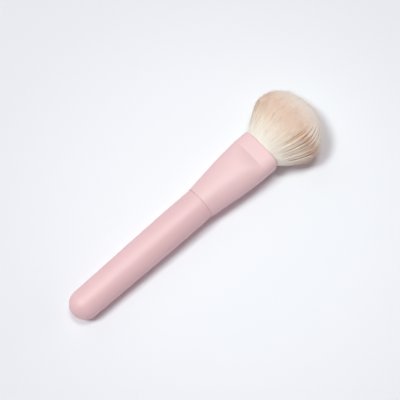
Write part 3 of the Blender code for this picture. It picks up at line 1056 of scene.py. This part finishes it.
def bundle_sizes(tuft, ferrule):
    """The tuft's sizes as the trees' named inputs."""
    mouth = RIM_REACH - ferrule.rim_bow
    root_start = mouth - tuft.root_setback
    lip_inset = ferrule.lip_turn + ferrule.wall + tuft.clearance
    return {
        "Root Start": root_start,
        "Root Depth": tuft.root_setback,
        "Tuft Length": tuft.length,
        "Reach": mouth + tuft.length - tuft.dome_length - root_start,
        "Dome Turn": 1.0 + tuft.shoulder / math.radians(90),
        "Half Width": tuft.width / 2,
        "Half Thickness": tuft.thickness / 2,
        "Wide Slope": math.tan(tuft.wide_splay),
        "Thin Slope": math.tan(tuft.thin_splay),
        "Wide Mouth": ferrule.mouth_width / 2 - lip_inset,
        "Thin Mouth": ferrule.band_thickness / 2 - lip_inset,
        **labelled(tuft, "dome_length", "used_side_splay", "skew", "lock_scale", "seed"),
        **labelled(tuft, "core_radius", "core_hollow"),
    }


def core_sizes(tuft, ferrule):
    return {
        **bundle_sizes(tuft, ferrule),
        "Core Share": tuft.core_share,
        "Core Rows": 81,
        "Core Columns": 901,
    }


def hair_sizes(tuft, ferrule, on_the_side):
    """The same for the hairs of a layer, all of them numbered through the layers."""
    hairs = SIDE_HAIRS if on_the_side else TIP_HAIRS
    return {
        **bundle_sizes(tuft, ferrule),
        **labelled(tuft, "hair_diameter", "fine_scale", "fine_pull"),
        **labelled(tuft, "coarse_pull", "parted_pull", "wander"),
        "Raggedness": tuft.side_raggedness if on_the_side else tuft.raggedness,
        "Reach Past": tuft.side_reach if on_the_side else tuft.tip_reach,
        "On the Side": on_the_side,
        "Start Share": 0.0 if on_the_side else tuft.tip_start_share,
        "All Hairs": hairs * len(SIDE_LAYERS if on_the_side else TIP_LAYERS),
        "First Hair": 0,
        "Hairs": hairs,
        "Points per Hair": SIDE_POINTS if on_the_side else TIP_POINTS,
    }


def plant_hairs(layers, sizes, finish):
    tree = hair_tree(sizes)
    for name in layers:
        finished_piece(name, mesh_of_tree(name, tree, sizes, finish), "hair", "tuft")
        sizes["First Hair"] += sizes["Hairs"]


def hair_bed_mesh(tuft, ferrule):
    """The slice of resin in the mouth that the roots stand in: a squared oval, cut straight."""
    inset = ferrule.wall + tuft.clearance
    start = RIM_REACH - ferrule.rim_bow - ferrule.lip_length - tuft.bed_thickness
    power = 2 / ferrule.band_power
    shape = bmesh.new()
    rim = []
    for part in even_shares(BED_STEPS)[:-1]:
        turn = math.tau * part
        across = math.copysign(abs(math.cos(turn)) ** power, math.cos(turn))
        upward = math.copysign(abs(math.sin(turn)) ** power, math.sin(turn))
        wide = (ferrule.mouth_width / 2 - inset) * across
        thin = (ferrule.band_thickness / 2 - inset) * upward
        rim.append(shape.verts.new((start, wide, thin)))
    back = shape.faces.new(rim)
    grown = bmesh.ops.extrude_face_region(shape, geom=[back], use_keep_orig=True)["geom"]
    moved = [item for item in grown if isinstance(item, bmesh.types.BMVert)]
    bmesh.ops.translate(shape, verts=moved, vec=(tuft.bed_thickness, 0.0, 0.0))
    bmesh.ops.recalc_face_normals(shape, faces=shape.faces)
    return mesh_of_shape("hair_bed", shape)


class BRUSH_OT_tuft(bpy.types.Operator):
    """Plant the hair in its bed, layer by layer over its pressed core."""

    bl_idname = "makeup_brush.tuft"
    bl_label = "Tuft"

    def execute(self, context):
        tuft = context.scene.brush_tuft
        ferrule = context.scene.brush_ferrule
        colours = context.scene.brush_colours
        finish = hair_finish(colours)
        sizes = core_sizes(tuft, ferrule)
        core = mesh_of_tree("hair_core", core_tree(sizes), sizes, finish)
        finished_piece("hair_core", core, "hair", "tuft")
        plant_hairs(SIDE_LAYERS, hair_sizes(tuft, ferrule, 1.0), finish)
        plant_hairs(TIP_LAYERS, hair_sizes(tuft, ferrule, 0.0), finish)
        bed = hair_bed_mesh(tuft, ferrule)
        bed.materials.append(cast_finish("hair_bed_resin", colours.resin, 0.3))
        finished_piece("hair_bed", bed, "resin", "tuft")
        return {"FINISHED"}


# Stage


def look_directions(stage):
    """The picture's right and up, the way from the brush to the camera, and up along the table."""
    right = Vector((math.cos(stage.swing), -math.sin(stage.swing), 0.0))
    table_up = Vector((math.sin(stage.swing), math.cos(stage.swing), 0.0))
    back = -table_up * math.sin(stage.pitch) + Vector((0.0, 0.0, math.cos(stage.pitch)))
    return right, back.cross(right), back, table_up


def add_camera(stage):
    right, up, back, _ = look_directions(stage)
    camera = new_object("camera", bpy.data.cameras.new("camera"))
    camera.data.lens = stage.lens
    camera.data.clip_start = stage.distance / 100
    place = PLACE.translation + back * stage.distance
    place += (up * stage.up_shift - right * stage.right_shift) * stage.picture_width
    turn = Matrix((right, up, back)).transposed()
    camera.matrix_world = Matrix.Translation(place) @ turn.to_4x4()
    bpy.context.scene.camera = camera


def add_lamps(colours, stage):
    """Soft round lamps that each give a level table their share of its light."""
    right, _, _, table_up = look_directions(stage)
    for name in LAMPS:
        turn, lean, width, part = (
            getattr(stage, f"{name}_{kind}") for kind in ("turn", "lean", "width", "share")
        )
        aside = right * math.cos(turn) + table_up * math.sin(turn)
        towards = aside * math.sin(lean) + Vector((0.0, 0.0, math.cos(lean)))
        lamp = new_object(name, bpy.data.lights.new(name, "AREA"))
        lamp.data.shape = "DISK"
        lamp.data.size = 2 * stage.lamp_distance * math.tan(width / 2)
        lamp.data.energy = part * (math.pi * stage.lamp_distance) ** 2 / math.cos(lean)
        lamp.data.color = colours.lamp
        facing = towards.to_track_quat("Z", "Y").to_matrix().to_4x4()
        lamp.matrix_world = Matrix.Translation(towards * stage.lamp_distance) @ facing


def add_floor(colours, stage):
    """A broad round sheet of paper under the brush."""
    shape = bmesh.new()
    radius = stage.picture_width * FLOOR_REACH
    bmesh.ops.create_circle(shape, cap_ends=True, radius=radius, segments=FLOOR_STEPS)
    mesh = mesh_of_shape("paper", shape)
    mesh.materials.append(paper_finish(colours, stage))
    floor = new_object("paper", mesh)


def light_surroundings(colours, stage):
    """A pale sky: dim as a lamp, bright where the camera or a shiny surface sees it."""
    world = bpy.data.worlds.new("pale_room")
    world.use_nodes = True
    tree = world.node_tree
    background = tree.nodes["Background"]
    path = tree.nodes.new("ShaderNodeLightPath")
    seen = maths(tree, "MAXIMUM", path.outputs["Is Camera Ray"], path.outputs["Is Glossy Ray"])
    seen = seen.works("MAXIMUM", path.outputs["Is Transmission Ray"])
    tint = mixed_colours(tree, seen, (*colours.fill, 1.0), (*colours.sky, 1.0))
    feed(tree, tint, background.inputs["Color"])
    feed(tree, mix(stage.sky_share, 1.0, seen), background.inputs["Strength"])
    bpy.context.scene.world = world


class BRUSH_OT_stage(bpy.types.Operator):
    """Set the floor, the light and the camera."""

    bl_idname = "makeup_brush.stage"
    bl_label = "Floor, Light and Camera"

    def execute(self, context):
        stage = context.scene.brush_stage
        colours = context.scene.brush_colours
        add_floor(colours, stage)
        add_lamps(colours, stage)
        light_surroundings(colours, stage)
        add_camera(stage)
        context.scene.view_settings.view_transform = "Standard"
        return {"FINISHED"}


OPERATORS = (
    BRUSH_OT_handle,
    BRUSH_OT_ferrule,
    BRUSH_OT_inner_pieces,
    BRUSH_OT_tuft,
    BRUSH_OT_stage,
)


class BRUSH_PT_sidebar(bpy.types.Panel):
    """Lists the brush's sizes, colours and building steps."""

    bl_label = "Makeup Brush"
    bl_idname = "BRUSH_PT_sidebar"
    bl_space_type = "VIEW_3D"
    bl_region_type = "UI"
    bl_category = "Brush"

    def draw(self, context):
        for group, kind in GROUPS.items():
            box = self.layout.box()
            box.label(text=kind.__doc__)
            for name in kind.__annotations__:
                box.prop(getattr(context.scene, group), name)
        for operator in OPERATORS:
            self.layout.operator(operator.bl_idname)


CLASSES = (*GROUPS.values(), *OPERATORS, BRUSH_PT_sidebar)


def register():
    for kind in CLASSES:
        bpy.utils.register_class(kind)
    for name, kind in GROUPS.items():
        setattr(bpy.types.Scene, name, PointerProperty(type=kind))


def unregister():
    for name in GROUPS:
        delattr(bpy.types.Scene, name)
    for kind in reversed(CLASSES):
        bpy.utils.unregister_class(kind)


def main():
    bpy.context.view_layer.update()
    register()
    bpy.ops.makeup_brush.handle()
    bpy.ops.makeup_brush.ferrule()
    bpy.ops.makeup_brush.inner_pieces()
    bpy.ops.makeup_brush.tuft()
    bpy.ops.makeup_brush.stage()


if __name__ == "__main__":
    main()
